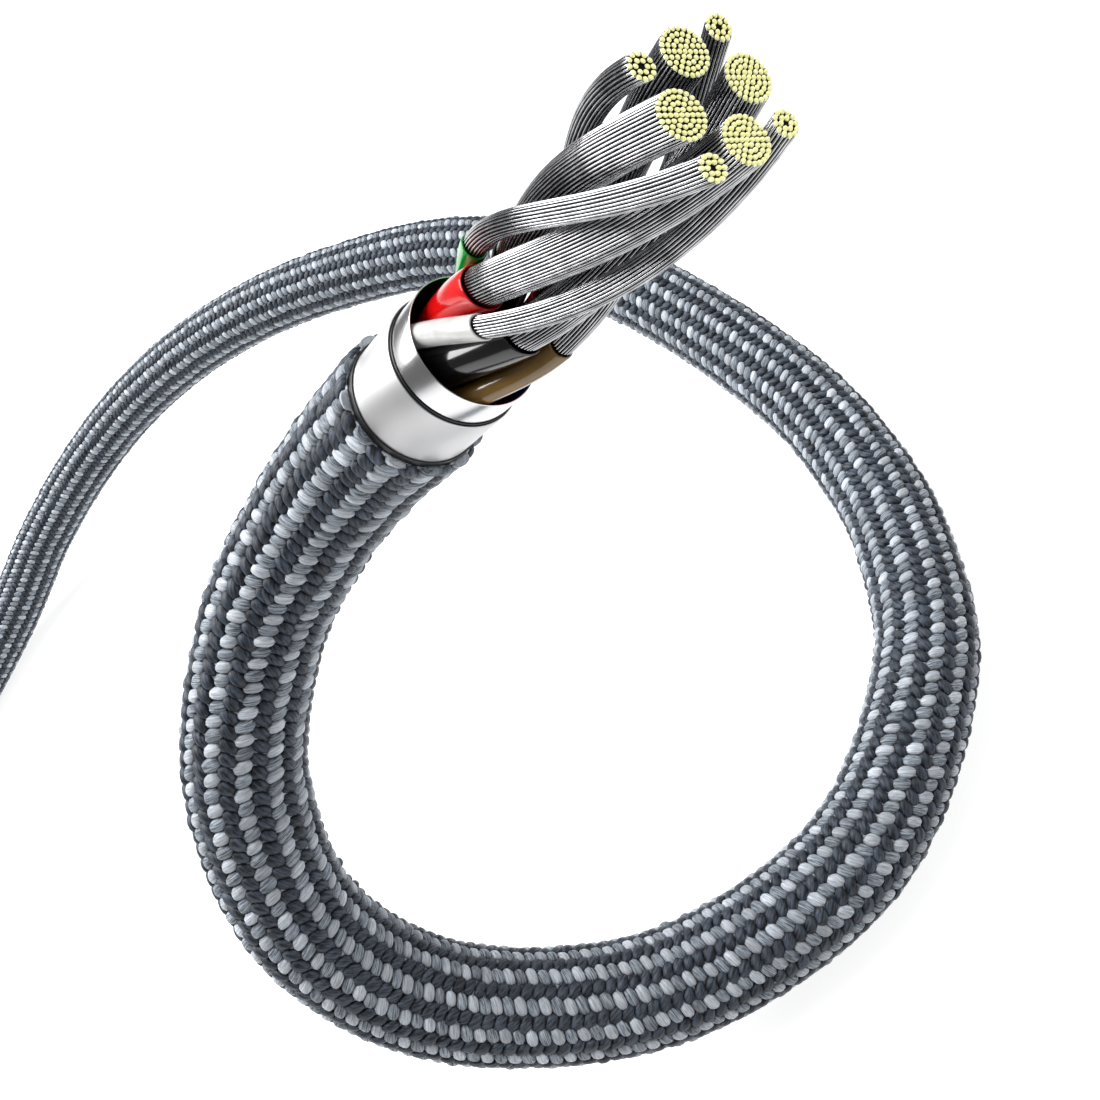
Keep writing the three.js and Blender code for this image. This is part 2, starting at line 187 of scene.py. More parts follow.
def make_mesh(name, points, faces, uv=None, marks=None, shade=None):
    """A smooth mesh object from points in mm and faces of point numbers, with a UV for each face
    corner, a material number for each face and a shade for each point where they are given. Points
    that lie in one place, as a closed end's last ring does, become one."""
    mesh = bpy.data.meshes.new(name)
    faces = np.asarray(faces)
    corners = faces.shape[1]
    mesh.vertices.add(len(points))
    mesh.vertices.foreach_set("co", (np.asarray(points) * mm).astype(np.float32).ravel())
    mesh.loops.add(faces.size)
    mesh.loops.foreach_set("vertex_index", faces.astype(np.int32).ravel())
    mesh.polygons.add(len(faces))
    mesh.polygons.foreach_set("loop_start", np.arange(0, faces.size, corners, dtype=np.int32))
    mesh.update(calc_edges=True)
    mesh.polygons.foreach_set("use_smooth", np.ones(len(faces), dtype=bool))
    if uv is not None:
        layer = mesh.uv_layers.new(name="UVMap")
        layer.data.foreach_set("uv", np.asarray(uv, dtype=np.float32).ravel())
    if marks is not None:
        mesh.polygons.foreach_set("material_index", np.asarray(marks, dtype=np.int32))
    if shade is not None:
        shades = mesh.attributes.new("shade", "FLOAT_COLOR", "POINT")
        grey = np.column_stack([shade, shade, shade, np.ones_like(shade)])
        shades.data.foreach_set("color", grey.ravel())
    welded = bmesh.new()
    welded.from_mesh(mesh)
    bmesh.ops.remove_doubles(welded, verts=welded.verts, dist=weld_distance * mm)
    welded.to_mesh(mesh)
    welded.free()
    piece = bpy.data.objects.new(name, mesh)
    bpy.context.scene.collection.objects.link(piece)
    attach(piece, "root")
    return piece


def tube_faces(rings, sides):
    """The faces between rings of points, each joined to the next ring and round to its first point."""
    ring = np.arange(rings - 1)[:, None] * sides
    here = np.arange(sides)[None, :]
    beside = (here + 1) % sides
    quads = np.stack([ring + here, ring + beside, ring + sides + beside, ring + sides + here], axis=-1)
    return quads.reshape(-1, 4)


# The braid's pattern. Twelve yarns run one way round the cable and twelve the other, each over one
# and under the next. A light yarn, bright or heather, crosses dark ones. In the lattice, a dark yarn
# keeps its number a and a light one its number b, and both grow by one from yarn to yarn.
yarns_each_way = 12
lay_length = 6.3


def lattice(along, angle):
    """The braid's two yarn counts at a point: the share of a turn round the cable, less or more the
    share of a lay length along it, times the number of yarns each way."""
    round_it = angle / (2 * math.pi)
    down_it = along / lay_length
    return (round_it - down_it) * yarns_each_way, (round_it + down_it) * yarns_each_way


def link(tree, source, target):
    """Joins a node's first output, or the socket given, to a socket."""
    tree.links.new(source if isinstance(source, bpy.types.NodeSocket) else source.outputs[0], target)


def add_node(tree, kind, inputs=(), **settings):
    """A shader node with its settings, and its inputs, by number or name, as values or links."""
    made = tree.nodes.new(kind)
    for key, value in settings.items():
        setattr(made, key, value)
    for key, value in dict(inputs).items():
        if isinstance(value, (bpy.types.Node, bpy.types.NodeSocket)):
            link(tree, value, made.inputs[key])
        else:
            made.inputs[key].default_value = value
    return made


def calc(tree, operation, *values):
    """One step of arithmetic on sockets or numbers."""
    return add_node(tree, "ShaderNodeMath", dict(enumerate(values)), operation=operation)


def new_material(name, shader_values):
    """A material with a Principled shader and the values given for its own sockets."""
    made = bpy.data.materials.new(name)
    made.use_nodes = True
    shader = made.node_tree.nodes["Principled BSDF"]
    for key, value in shader_values.items():
        shader.inputs[key].default_value = value
    return made, made.node_tree, shader


def colour(red, green, blue):
    """A colour given as it looks on a screen, from 0 to 255, as the light it stands for."""
    screen = np.array([red, green, blue]) / 255
    linear = np.where(screen <= 0.04045, screen / 12.92, ((screen + 0.055) / 1.055) ** 2.4)
    return (*(float(part) for part in linear), 1.0)


def ramp(tree, factor, *stops):
    """A colour ramp on a factor: pairs of a place and a colour."""
    made = add_node(tree, "ShaderNodeValToRGB", {0: factor})
    while len(made.color_ramp.elements) < len(stops):
        made.color_ramp.elements.new(0.5)
    for element, (place, shade) in zip(made.color_ramp.elements, stops):
        element.position = place
        element.color = shade
    return made


def between(tree, noise, dark, light, reach=0.2):
    """Colours from a dark one to a light one, for noise from a reach below its middle to one above."""
    return ramp(tree, noise, (0.5 - reach, dark), (0.5 + reach, light))


def mix(tree, share, first, second, blend="MIX"):
    """The first colour and a share of the second, mixed or blended in another way."""
    made = add_node(
        tree, "ShaderNodeMix", {0: share, 6: first, 7: second}, data_type="RGBA", blend_type=blend,
    )
    return made.outputs[2]


def uv_parts(tree):
    """The two numbers of the piece's own UV map."""
    parts = add_node(tree, "ShaderNodeSeparateXYZ", {0: add_node(tree, "ShaderNodeUVMap", uv_map="UVMap")})
    return parts.outputs["X"], parts.outputs["Y"]


def set_relief(tree, shader, height, strength, depth):
    """A height from 0 to 1 as a bump in the surface, with its depth in mm."""
    bump = add_node(tree, "ShaderNodeBump", {
        "Strength": strength, "Distance": depth * mm, "Height": height,
    })
    link(tree, bump, shader.inputs["Normal"])


bright_dark = colour(128, 134, 142)
bright_light = colour(204, 210, 218)
heather_dark = colour(66, 74, 84)
heather_light = colour(158, 166, 175)
dark_dark = colour(11, 14, 19)
dark_light = colour(68, 77, 90)
painted_groove_shade = (0.03, 0.03, 0.035, 1)
open_height = 0.55
cells_across = 1.9
cells_along = 1.6
cell_power = 2.4
streaks_along = 1.2
streaks_across = 11.0
dark_seed = 3.7
light_seed = 5.3
streak_rise = 0.12
yarn_rise = 0.12


def braided_finish():
    """The braid as a pattern on the cord's own lattice. The nearest crossing says which yarn is on
    top, and how far across it and along it the point is. The yarn's height there is the root of
    1 - |across|^n - |along|^n, and where that is low the groove is painted dark as shade."""
    made, tree, shader = new_material("braid_on_cord", {"Roughness": 0.62, "Sheen Weight": 0.1})
    a, b = uv_parts(tree)
    dark_yarn = calc(tree, "ROUND", a)
    light_yarn = calc(tree, "ROUND", b)
    off_dark = calc(tree, "SUBTRACT", a, dark_yarn)
    off_light = calc(tree, "SUBTRACT", b, light_yarn)
    dark_on_top = calc(tree, "FLOORED_MODULO", calc(tree, "ADD", dark_yarn, light_yarn), 2.0)
    swap = calc(tree, "SUBTRACT", off_dark, off_light)
    across_yarn = calc(tree, "MULTIPLY_ADD", swap, dark_on_top, off_light)
    along_yarn = calc(tree, "MULTIPLY_ADD", calc(tree, "MULTIPLY", swap, -1.0), dark_on_top, off_dark)
    powers = []
    for part, cells in ((across_yarn, cells_across), (along_yarn, cells_along)):
        reach = calc(tree, "ABSOLUTE", calc(tree, "MULTIPLY", part, cells))
        powers.append(calc(tree, "POWER", reach, cell_power))
    left = calc(tree, "SUBTRACT", 1.0, calc(tree, "ADD", *powers))
    height = calc(tree, "SQRT", calc(tree, "MAXIMUM", left, 0.0))
    streak_place = add_node(tree, "ShaderNodeCombineXYZ", {
        0: calc(tree, "MULTIPLY", along_yarn, streaks_along),
        1: calc(tree, "MULTIPLY", across_yarn, streaks_across),
        2: calc(tree, "MULTIPLY_ADD", dark_yarn, dark_seed, calc(tree, "MULTIPLY", light_yarn, light_seed)),
    })
    streaks = add_node(tree, "ShaderNodeTexNoise", {"Vector": streak_place, "Scale": 1.0, "Detail": 2.0})
    bright_tint = between(tree, streaks, bright_dark, bright_light)
    heather_tint = between(tree, streaks, heather_dark, heather_light)
    dark_tint = between(tree, streaks, dark_dark, dark_light)
    heather = calc(tree, "FLOORED_MODULO", light_yarn, 2.0)
    light_tint = mix(tree, heather, bright_tint, heather_tint)
    yarn_tint = mix(tree, dark_on_top, light_tint, dark_tint)
    # Painted shade: the colour darkens to near black in the grooves, where the yarn's height is low.
    painted_groove_shadow = ramp(tree, height, (0.0, painted_groove_shade), (open_height, (1, 1, 1, 1)))
    link(tree, mix(tree, 1.0, yarn_tint, painted_groove_shadow, "MULTIPLY"), shader.inputs["Base Color"])
    set_relief(tree, shader, calc(tree, "MULTIPLY_ADD", streaks, streak_rise, height), 1.0, yarn_rise)
    return made


# The cord itself. Its first stretch is the cable's core, bored for the layers, and carries the yarns
# of the next section; from the coil on it has the braid's full diameter and pattern.
core_radius = 2.1
bore_radius = 2.045
bore_depth = 3.4
yarns_end = fine_run[span_points * len(route)]
swell_reach = 1.0
tube_sides = 32
tube_step = 0.75
tube_run = np.arange(tube_step, cord_length, tube_step)
tube_run = np.concatenate([[bore_depth, bore_depth, 0.0, 0.0], tube_run, [cord_length, cord_length]])
swelling = smooth(tube_run, yarns_end - swell_reach, yarns_end + swell_reach)
tube_radius = core_radius + (cable_radius - core_radius) * swelling
tube_radius[1:3] = bore_radius
tube_radius[[0, -1]] = 0.0
turn_share = np.arange(tube_sides + 1) / tube_sides
tube_along, tube_angle = np.meshgrid(tube_run, 2 * math.pi * turn_share, indexing="ij")
tube_reach = np.repeat(tube_radius[:, None], tube_sides, axis=1)
tube_points = on_cord(tube_along[:, :-1], tube_angle[:, :-1], tube_reach)
tube_lattice = np.stack(lattice(tube_along, tube_angle), axis=-1)
tube_uv = np.stack([
    tube_lattice[1:, :-1], tube_lattice[1:, 1:], tube_lattice[:-1, 1:], tube_lattice[:-1, :-1],
], axis=2)
cord = make_mesh(
    "braided_cord", tube_points.reshape(-1, 3), tube_faces(len(tube_run), tube_sides)[:, ::-1],
    tube_uv.reshape(-1, 2),
)
cord.data.materials.append(braided_finish())
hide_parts("braided_cable", "coiled_cable", "cable_lead")

# The yarns on the stretch that lies in front: flat bundles of filaments, light ones one way round
# and charcoal ones the other. Only where a yarn passes over another does it show, as a low pillow.
pillow_spokes = 12
pillow_rings = np.array([0.45, 0.8, 1.0])
pillow_roundness = 2.5
dome_power = 2.2
pillow_bottom = -0.3
float_width = 0.66
float_height = 0.54
float_skew = 0.6
float_low = 2.07
float_rise = 0.22
filament_rise = 0.04
steep_filaments = 0.35
width_spread = 0.07
place_spread = 0.05
length_spread = 0.06
rise_spread = 0.1
shade_spread = 0.12
shade_limits = (0.6, 1.3)
streak_shift = 7.0
crossings = 2 * yarns_each_way
draws = np.random.default_rng(7)


def float_outline():
    """The points of one pillow, from its middle outwards and then below it: a rounded square whose
    reach each way is the power 2/n of the cosine and the sine, and a dome over it whose height is
    the root of 1 - r^m at the share r of its reach."""
    angle = 2 * math.pi * np.arange(pillow_spokes) / pillow_spokes
    power = 2 / pillow_roundness
    u = np.sign(np.cos(angle)) * np.abs(np.cos(angle)) ** power
    v = np.sign(np.sin(angle)) * np.abs(np.sin(angle)) ** power
    u = np.concatenate([[0.0], np.outer(pillow_rings, u).ravel(), [0.0]])
    v = np.concatenate([[0.0], np.outer(pillow_rings, v).ravel(), [0.0]])
    dome = np.sqrt(1 - pillow_rings**dome_power)
    return u, v, np.concatenate([[1.0], np.repeat(dome, pillow_spokes), [pillow_bottom]])


def float_faces():
    """The pillow's triangles: a fan about the middle, bands between rings, and a fan underneath."""
    here = np.arange(pillow_spokes)
    beside = (here + 1) % pillow_spokes
    faces = [np.stack([1 + beside, 1 + here, np.zeros_like(here)], axis=-1)]
    for n in range(len(pillow_rings) - 1):
        low = 1 + n * pillow_spokes
        high = low + pillow_spokes
        faces.append(np.stack([high + beside, high + here, low + here], axis=-1))
        faces.append(np.stack([low + beside, high + beside, low + here], axis=-1))
    edge = 1 + (len(pillow_rings) - 1) * pillow_spokes
    under = np.full_like(here, edge + pillow_spokes)
    faces.append(np.stack([edge + beside, under, edge + here], axis=-1))
    return np.concatenate(faces)


def repeated(faces, count, points_each):
    """The faces of a shape that is made a number of times, each time with its own run of points."""
    starts = points_each * np.arange(count)
    return (faces[None] + starts[:, None, None]).reshape(-1, faces.shape[1])


def yarn_finish(name, dark_end, light_end, mottling, streak_count, roughness, sheen):
    """Filaments along the yarn: noise stretched along each float, some of them much lighter. Each
    float is as a whole lighter or darker by its own shade."""
    made, tree, shader = new_material(name, {
        "Roughness": roughness, "Sheen Weight": sheen, "Sheen Roughness": 0.35, "Specular IOR Level": 0.35,
    })
    along_float, across_float = uv_parts(tree)
    stretched = add_node(tree, "ShaderNodeCombineXYZ", {
        0: along_float, 1: calc(tree, "MULTIPLY", across_float, streak_count),
    })
    streaks = add_node(tree, "ShaderNodeTexNoise", {
        "Vector": stretched, "Scale": 1.0, "Detail": 4.0, "Roughness": 0.7, "Distortion": 0.25,
    })
    tint = between(tree, streaks, dark_end, light_end, mottling)
    shade = add_node(tree, "ShaderNodeAttribute", attribute_name="shade")
    shaded = mix(tree, 1.0, tint, shade.outputs["Color"], "MULTIPLY")
    link(tree, shaded, shader.inputs["Base Color"])
    set_relief(tree, shader, streaks, 1.0, filament_rise)
    return made


def yarn_floats(name, light, parity, finish):
    """All the floats of every second yarn of one direction. A crossing lies in a column, at the angle
    pi (a + b) / n, and a row, at (b - a) / 2n of a lay; the light yarn is on top in even columns."""
    columns = np.arange(crossings)[:, None]
    rows = np.arange(int(crossings * yarns_end / lay_length) + 1)[None, :]
    columns, rows = np.broadcast_arrays(columns, rows)
    yarn_number = (columns + rows if light else columns - rows) // 2
    kept = ((columns + rows) % 2 == 0) & (columns % 2 == (0 if light else 1))
    kept &= yarn_number % 2 == parity
    column = columns[kept][:, None].astype(float)
    row = rows[kept][:, None].astype(float)
    count = len(column)

    def varied(spread):
        """A random share for each float, about 1."""
        return 1 + spread * draws.standard_normal((count, 1))

    u, v, height = float_outline()
    way = 1 if light else -1
    round_it = float_width * u * varied(width_spread)
    round_it += place_spread * draws.standard_normal((count, 1))
    down_it = 2 * float_height * v * varied(length_spread) - way * float_skew * round_it
    along = np.clip((row + down_it) * lay_length / crossings, 0.0, yarns_end)
    angle = math.pi * (column + round_it) / yarns_each_way
    points = on_cord(along, angle, float_low + float_rise * varied(rise_spread) * height)
    lean = 1.0 if light else steep_filaments
    along_yarn = (lean * round_it - way * down_it) / 2 + streak_shift * np.arange(count)[:, None]
    across_yarn = (round_it + way * lean * down_it) / 2
    place = np.stack([along_yarn, across_yarn], axis=-1).reshape(-1, 2)
    shade = np.repeat(varied(shade_spread), len(u)).clip(*shade_limits)
    faces = repeated(float_faces(), count, len(u))
    piece = make_mesh(name, points.reshape(-1, 3), faces, place[faces].reshape(-1, 2), shade=shade)
    piece.data.materials.append(finish)
    return piece


bright_yarn = yarn_finish(
    "bright_yarn", bright_dark, bright_light, mottling=0.16, streak_count=8.0, roughness=0.5, sheen=0.3,
)
heather_yarn = yarn_finish(
    "heather_yarn", heather_dark, heather_light, mottling=0.09, streak_count=9.0, roughness=0.55, sheen=0.2,
)
charcoal_yarn = yarn_finish(
    "charcoal_yarn", dark_dark, dark_light, mottling=0.1, streak_count=9.0, roughness=0.5, sheen=0.05,
)
yarns = [
    yarn_floats("bright_yarns", True, 0, bright_yarn),
    yarn_floats("heather_yarns", True, 1, heather_yarn),
    yarn_floats("charcoal_yarns", False, 0, charcoal_yarn),
    yarn_floats("second_charcoal_yarns", False, 1, charcoal_yarn),
]

# The cut end. Its axis runs out of the cut along the cable, and its first direction is straight
# down, turned by the roll of the cores; all the layers and cores are placed by it.
lay_roll = math.radians(12.1)
cut_out = unit(route[0] - route[1])
straight_down = unit(np.array([0.0, 0.0, -1.0]) + cut_out * cut_out[2])
cut_x = straight_down * math.cos(lay_roll) + np.cross(cut_out, straight_down) * math.sin(lay_roll)
cut_y = np.cross(cut_out, cut_x)
jacket_radius = 2.03
jacket_wall = 0.04
jacket_out = 0.22
layer_clearance = 0.015
outer_sleeve_wall = 0.045
outer_sleeve_out = 2.48
film_wall = 0.02
film_out = 0.08
inner_sleeve_wall = 0.04
inner_sleeve_out = 1.1
layer_low = -3.1
layer_sides = 128
foil_unevenness = 0.15


def from_cut(x, y, z):
    """The point at x, y and z in the cut end's own frame."""
    return route[0] + x[..., None] * cut_x + y[..., None] * cut_y + z[..., None] * cut_out


def turned(profile, sides, place):
    """A closed profile of radii and heights, turned about the axis: each point at the radius times
    the cosine and sine of an angle. Gives the points in their place and the faces round them."""
    profile = np.asarray(profile)
    angle = 2 * math.pi * np.arange(sides) / sides
    x = profile[:, :1] * np.cos(angle)
    y = profile[:, :1] * np.sin(angle)
    z = np.repeat(profile[:, 1:], sides, axis=1)
    faces = tube_faces(len(profile) + 1, sides) % (len(profile) * sides)
    return place(x, y, z).reshape(-1, 3), faces


def lipped_wall(outside, wall, low, high, lip_points=7, steps=6):
    """The profile of a thin pipe whose open end is a half round of its wall's thickness."""
    half = wall / 2
    round_lip = np.linspace(0, math.pi, lip_points)
    lip = [(outside - half + half * math.cos(t), high - half + half * math.sin(t)) for t in round_lip]
    stretch = np.linspace(low, high - half, steps)
    rising = [(outside, z) for z in stretch[:-1]]
    falling = [(outside - wall, z) for z in stretch[-2::-1]]
    return rising + lip + falling


def layer(name, outside, wall, high, finish, slot):
    """A round layer of the cable, from inside the braid to its own cut end, in place of its solid."""
    points, faces = turned(lipped_wall(outside, wall, layer_low, high), layer_sides, from_cut)
    piece = make_mesh(name + "_wall", points, faces)
    piece.data.materials.append(finish)
    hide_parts(name)
    return piece


def grain_of(tree, scale, detail):
    """Noise on the piece's own coordinates, with its scale in waves to the metre."""
    place = add_node(tree, "ShaderNodeTexCoord")
    return add_node(tree, "ShaderNodeTexNoise", {
        "Vector": place.outputs["Object"], "Scale": scale, "Detail": detail,
    })


def set_gloss(tree, shader, noise, low, high):
    """Roughness that goes with the noise, from low to high."""
    gloss = add_node(tree, "ShaderNodeMapRange", {0: noise, 3: low, 4: high})
    link(tree, gloss, shader.inputs["Roughness"])


def film_finish():
    """Thin black polymer film: nearly smooth, with faint drawing marks in its gloss and its height."""
    made, tree, shader = new_material("black_film", {
        "Base Color": colour(16, 17, 20), "Specular IOR Level": 0.5,
    })
    marks = grain_of(tree, 4000.0, 2.0)
    set_gloss(tree, shader, marks, 0.28, 0.5)
    set_relief(tree, shader, marks, 0.3, 0.004)
    return made


def foil_finish(name, roughness, tone, metallic):
    """Bright metal foil wound smooth: a slight change of gloss in patches and fine waves of the foil."""
    made, tree, shader = new_material(name, {
        "Base Color": colour(tone, tone, tone + 1), "Metallic": metallic, "Anisotropic": 0.3,
    })
    patches = grain_of(tree, 900.0, 2.0)
    set_gloss(tree, shader, patches, roughness * (1 - foil_unevenness), roughness * (1 + foil_unevenness))
    set_relief(tree, shader, patches, 0.15, 0.006)
    return made


outer_sleeve_radius = jacket_radius - jacket_wall - layer_clearance
film_radius = outer_sleeve_radius - outer_sleeve_wall - layer_clearance
inner_sleeve_radius = film_radius - film_wall - layer_clearance
sleeve_mouth = outer_sleeve_out + inner_sleeve_out
black_film = film_finish()
layers = [
    layer("inner_jacket", jacket_radius, jacket_wall, jacket_out, black_film, "black_film"),
    layer(
        "outer_shield_sleeve", outer_sleeve_radius, outer_sleeve_wall, outer_sleeve_out,
        foil_finish("satin_foil", 0.45, 200, 0.75), "foil",
    ),
    layer("separator_film", film_radius, film_wall, outer_sleeve_out + film_out, black_film, "black_film"),
    layer(
        "inner_foil_sleeve", inner_sleeve_radius, inner_sleeve_wall, sleeve_mouth,
        foil_finish("bright_foil", 0.2, 218, 1.0), "foil",
    ),
]

# The insulated cores. Four large ones lie round the middle and four small ones in the hollows
# outside them; all eight go round the axis together. Their plastic is extruded, so it is glossy.
large_core_radius = 0.62
small_core_radius = 0.36
core_gap = 0.04
fan_out = 0.13
insulation_end = sleeve_mouth + 2.17
conductor_out = 7.17
lay_turn = math.radians(127)
cut_slope = (0.146, 0.138)
large_pitch = (2 * large_core_radius + core_gap) / math.sqrt(2)
half_pitch = large_pitch / math.sqrt(2)
core_reach = large_core_radius + small_core_radius + core_gap
small_pitch = half_pitch + math.sqrt(core_reach**2 - half_pitch**2)
cores = [
    ("white", 0, False, (206, 206, 204)),
    ("red", 45, True, (205, 12, 16)),
    ("green", 90, False, (0, 150, 52)),
    ("second_black", 135, True, (14, 14, 15)),
    ("blue", 180, False, (28, 84, 170)),
    ("second_red", 225, True, (205, 12, 16)),
    ("brown", 270, False, (122, 92, 42)),
    ("black", 315, True, (14, 14, 15)),
]


def in_lay(degrees, large, x, y, z):
    """A point x and y off the middle of a core at a height z. The core's middle goes round the axis
    evenly and moves outwards past the sleeves, and its section keeps its direction all the way."""
    spread = smooth(z, sleeve_mouth, insulation_end)
    radius = (large_pitch if large else small_pitch) * (1 + spread * fan_out / small_pitch)
    along = (z - insulation_end) / conductor_out
    angle = -math.radians(degrees) - lay_turn * (1 - along)
    x = x + radius * np.cos(angle)
    y = y + radius * np.sin(angle)
    slope = np.maximum(along, 0) * (cut_slope[0] * x + cut_slope[1] * y)
    return from_cut(x, y, z + slope)


insulation_sides = 48
insulation_wall = 0.06
insulation_low = 0.0
insulation_lip = 9
insulation_steps = 28
deep_share = 0.82


def plastic_finish(name, tint):
    """Glossy extruded insulation: a clear surface with faint unevenness in colour and gloss."""
    base = colour(*tint)
    deep = tuple(part * deep_share for part in base[:3]) + (1.0,)
    made, tree, shader = new_material(name, {
        "Specular IOR Level": 0.6, "Coat Weight": 0.4, "Coat Roughness": 0.06,
    })
    patches = grain_of(tree, 1500.0, 3.0)
    link(tree, between(tree, patches, deep, base, 0.15), shader.inputs["Base Color"])
    set_gloss(tree, shader, patches, 0.12, 0.2)
    set_relief(tree, shader, patches, 0.08, 0.01)
    return made


for name, degrees, large, tint in cores:
    radius = large_core_radius if large else small_core_radius
    profile = lipped_wall(
        radius, insulation_wall, insulation_low, insulation_end, insulation_lip, insulation_steps,
    )
    points, faces = turned(profile, insulation_sides, partial(in_lay, degrees, large))
    piece = make_mesh(name + "_insulation_tube", points, faces)
    piece.data.materials.append(plastic_finish(name + "_plastic", tint))
    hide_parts(name + "_insulation")

# The conductors: bundles of fine tinned copper strands, laid straight in the bundle on a bar painted
# dark as shade. They start at the insulation's end with rounded tips and are cut across on a slant,
# where the copper shows pale with a faint painted glow.
large_bundle_radius = 0.54
small_bundle_radius = 0.31
large_strands = 40
small_strands = 22
strand_sides = 6
strand_steps = 26
strand_share = 0.31
strand_start = 0.03
tip_length = 0.05
tip_rings = 4
end_taper = 0.85
bar_sink = 0.4
bar_short = 0.01
large_dot_rings = 4
small_dot_rings = 2
dot_sides = 10
dot_share = 0.42
dot_margin = 0.45
dot_skirt = 0.02
dot_profile = np.array([(0.0, -dot_skirt), (1.0, -dot_skirt), (1.0, 0.01), (0.7, 0.03), (0.0, 0.036)])
ring_turn = 0.37


def strand_finish():
    """Tinned copper wire: bright metal, a little uneven in gloss and darker in places."""
    made, tree, shader = new_material("tinned_strand", {"Metallic": 1.0})
    patches = grain_of(tree, 2500.0, 2.0)
    tint = between(tree, patches, colour(165, 166, 168), colour(212, 212, 214))
    link(tree, tint, shader.inputs["Base Color"])
    set_gloss(tree, shader, patches, 0.1, 0.18)
    return made


def glowing_cut_copper_finish():
    """The strands' cut ends, pale yellow and matt, with a slight grain and a faint painted glow."""
    # Painted glow: the cut ends give off a little pale yellow light of their own.
    made, tree, shader = new_material("glowing_cut_strand_end", {
        "Roughness": 0.6, "Emission Color": colour(245, 243, 165), "Emission Strength": 0.2,
    })
    tint = between(tree, grain_of(tree, 9000.0, 2.0), colour(242, 239, 160), colour(252, 251, 205))
    link(tree, tint, shader.inputs["Base Color"])
    return made


def painted_shade_bar_finish():
    """What shows between the strands: the next ones in, painted near black as their deep shade."""
    made, tree, shader = new_material("painted_strand_shade", {"Roughness": 0.9, "Specular IOR Level": 0.1})
    # Painted shade: the bar is coloured near black in place of the shaded metal of the inner strands.
    tint = between(tree, grain_of(tree, 6000.0, 1.0), colour(6, 6, 7), colour(18, 18, 20))
    link(tree, tint, shader.inputs["Base Color"])
    return made


bundle_finishes = [strand_finish(), glowing_cut_copper_finish(), painted_shade_bar_finish()]
strand_number, glowing_copper_number, painted_shade_number = range(3)


def end_dots(radius, rings):
    """The middles of the strands' ends on the cut face: rings about the middle, each with six more
    than the one inside it. A small bundle has no middle strand."""
    places = [] if rings == small_dot_rings else [(0.0, 0.0)]
    spacing = radius / (rings + dot_margin)
    for n in range(1, rings + 1):
        turn = 2 * math.pi * (np.arange(6 * n) + ring_turn * n) / (6 * n)
        places += list(zip(n * spacing * np.cos(turn), n * spacing * np.sin(turn)))
    return np.array(places), spacing


def wires(middle, wire, strands, start, end):
    """The outer strands, as round wires beside each other on a circle: a strand's middle on it, and
    about that the wire's radius times the cosine and sine of an angle. They start in round tips."""
    tip_turn = np.linspace(0.0, math.pi / 2, tip_rings)
    height = np.concatenate([
        start + tip_length * (1 - np.cos(tip_turn)),
        np.linspace(start + tip_length, end - dot_skirt, strand_steps)[1:],
        [end, end],
    ])
    swell = np.concatenate([np.sin(tip_turn), np.ones(strand_steps - 1), [end_taper, 0.0]])
    thick = wire * swell[:, None]
    at = 2 * math.pi * np.arange(strands)[:, None, None] / strands
    turn = at + 2 * math.pi * np.arange(strand_sides) / strand_sides
    x = middle * np.cos(at) + thick * np.cos(turn)
    y = middle * np.sin(at) + thick * np.sin(turn)
    z = np.broadcast_to(height[:, None], x.shape)
    faces = tube_faces(len(height), strand_sides)
    return (x, y, z), repeated(faces, strands, len(height) * strand_sides)


def inner_bar(reach, sides, start, end):
    """What the outer strands lie on: a round bar, closed at both ends."""
    height = np.concatenate([[start], np.linspace(start, end, strand_steps), [end]])
    ring = np.concatenate([[0.0], np.full(strand_steps, reach), [0.0]])
    turn = 2 * math.pi * np.arange(sides) / sides
    x = ring[:, None] * np.cos(turn)
    y = ring[:, None] * np.sin(turn)
    return (x, y, np.broadcast_to(height[:, None], x.shape)), tube_faces(len(height), sides)


def end_domes(places, reach, end):
    """A dome on each place of the cut face: the profile's radii times the reach and the cosine and
    sine of an angle, at the profile's heights."""
    turn = 2 * math.pi * np.arange(dot_sides) / dot_sides
    x = places[:, 0, None, None] + dot_profile[:, :1] * reach * np.cos(turn)
    y = places[:, 1, None, None] + dot_profile[:, :1] * reach * np.sin(turn)
    z = np.broadcast_to(end + dot_profile[:, 1:], x.shape)
    faces = tube_faces(len(dot_profile), dot_sides)
    return (x, y, z), repeated(faces, len(places), len(dot_profile) * dot_sides)


def bundle(name, degrees, large):
    """One conductor: its outer strands along the lay, the bar that they lie on, painted dark as shade,
    and on the slanting end a domed dot for each strand."""
    radius = large_bundle_radius if large else small_bundle_radius
    strands = large_strands if large else small_strands
    wire = strand_share * 2 * math.pi * radius / strands
    middle = radius - wire
    start = insulation_end + strand_start
    end = insulation_end + conductor_out
    places, spacing = end_dots(radius, large_dot_rings if large else small_dot_rings)
    parts = [
        (strand_number, wires(middle, wire, strands, start, end)),
        (painted_shade_number, inner_bar(middle - bar_sink * wire, 2 * strands, start, end - bar_short)),
        (glowing_copper_number, end_domes(places, dot_share * spacing, end)),
    ]
    points = []
    faces = []
    marks = []
    made = 0
    for number, (place, part_faces) in parts:
        points.append(in_lay(degrees, large, *place).reshape(-1, 3))
        faces.append(part_faces + made)
        marks.append(np.full(len(part_faces), number))
        made += len(points[-1])
    piece = make_mesh(
        name + "_strands", np.concatenate(points), np.concatenate(faces), marks=np.concatenate(marks),
    )
    for finish in bundle_finishes:
        piece.data.materials.append(finish)
    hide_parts(name + "_conductor")
    return piece


for name, degrees, large, tint in cores:
    bundle(name, degrees, large)

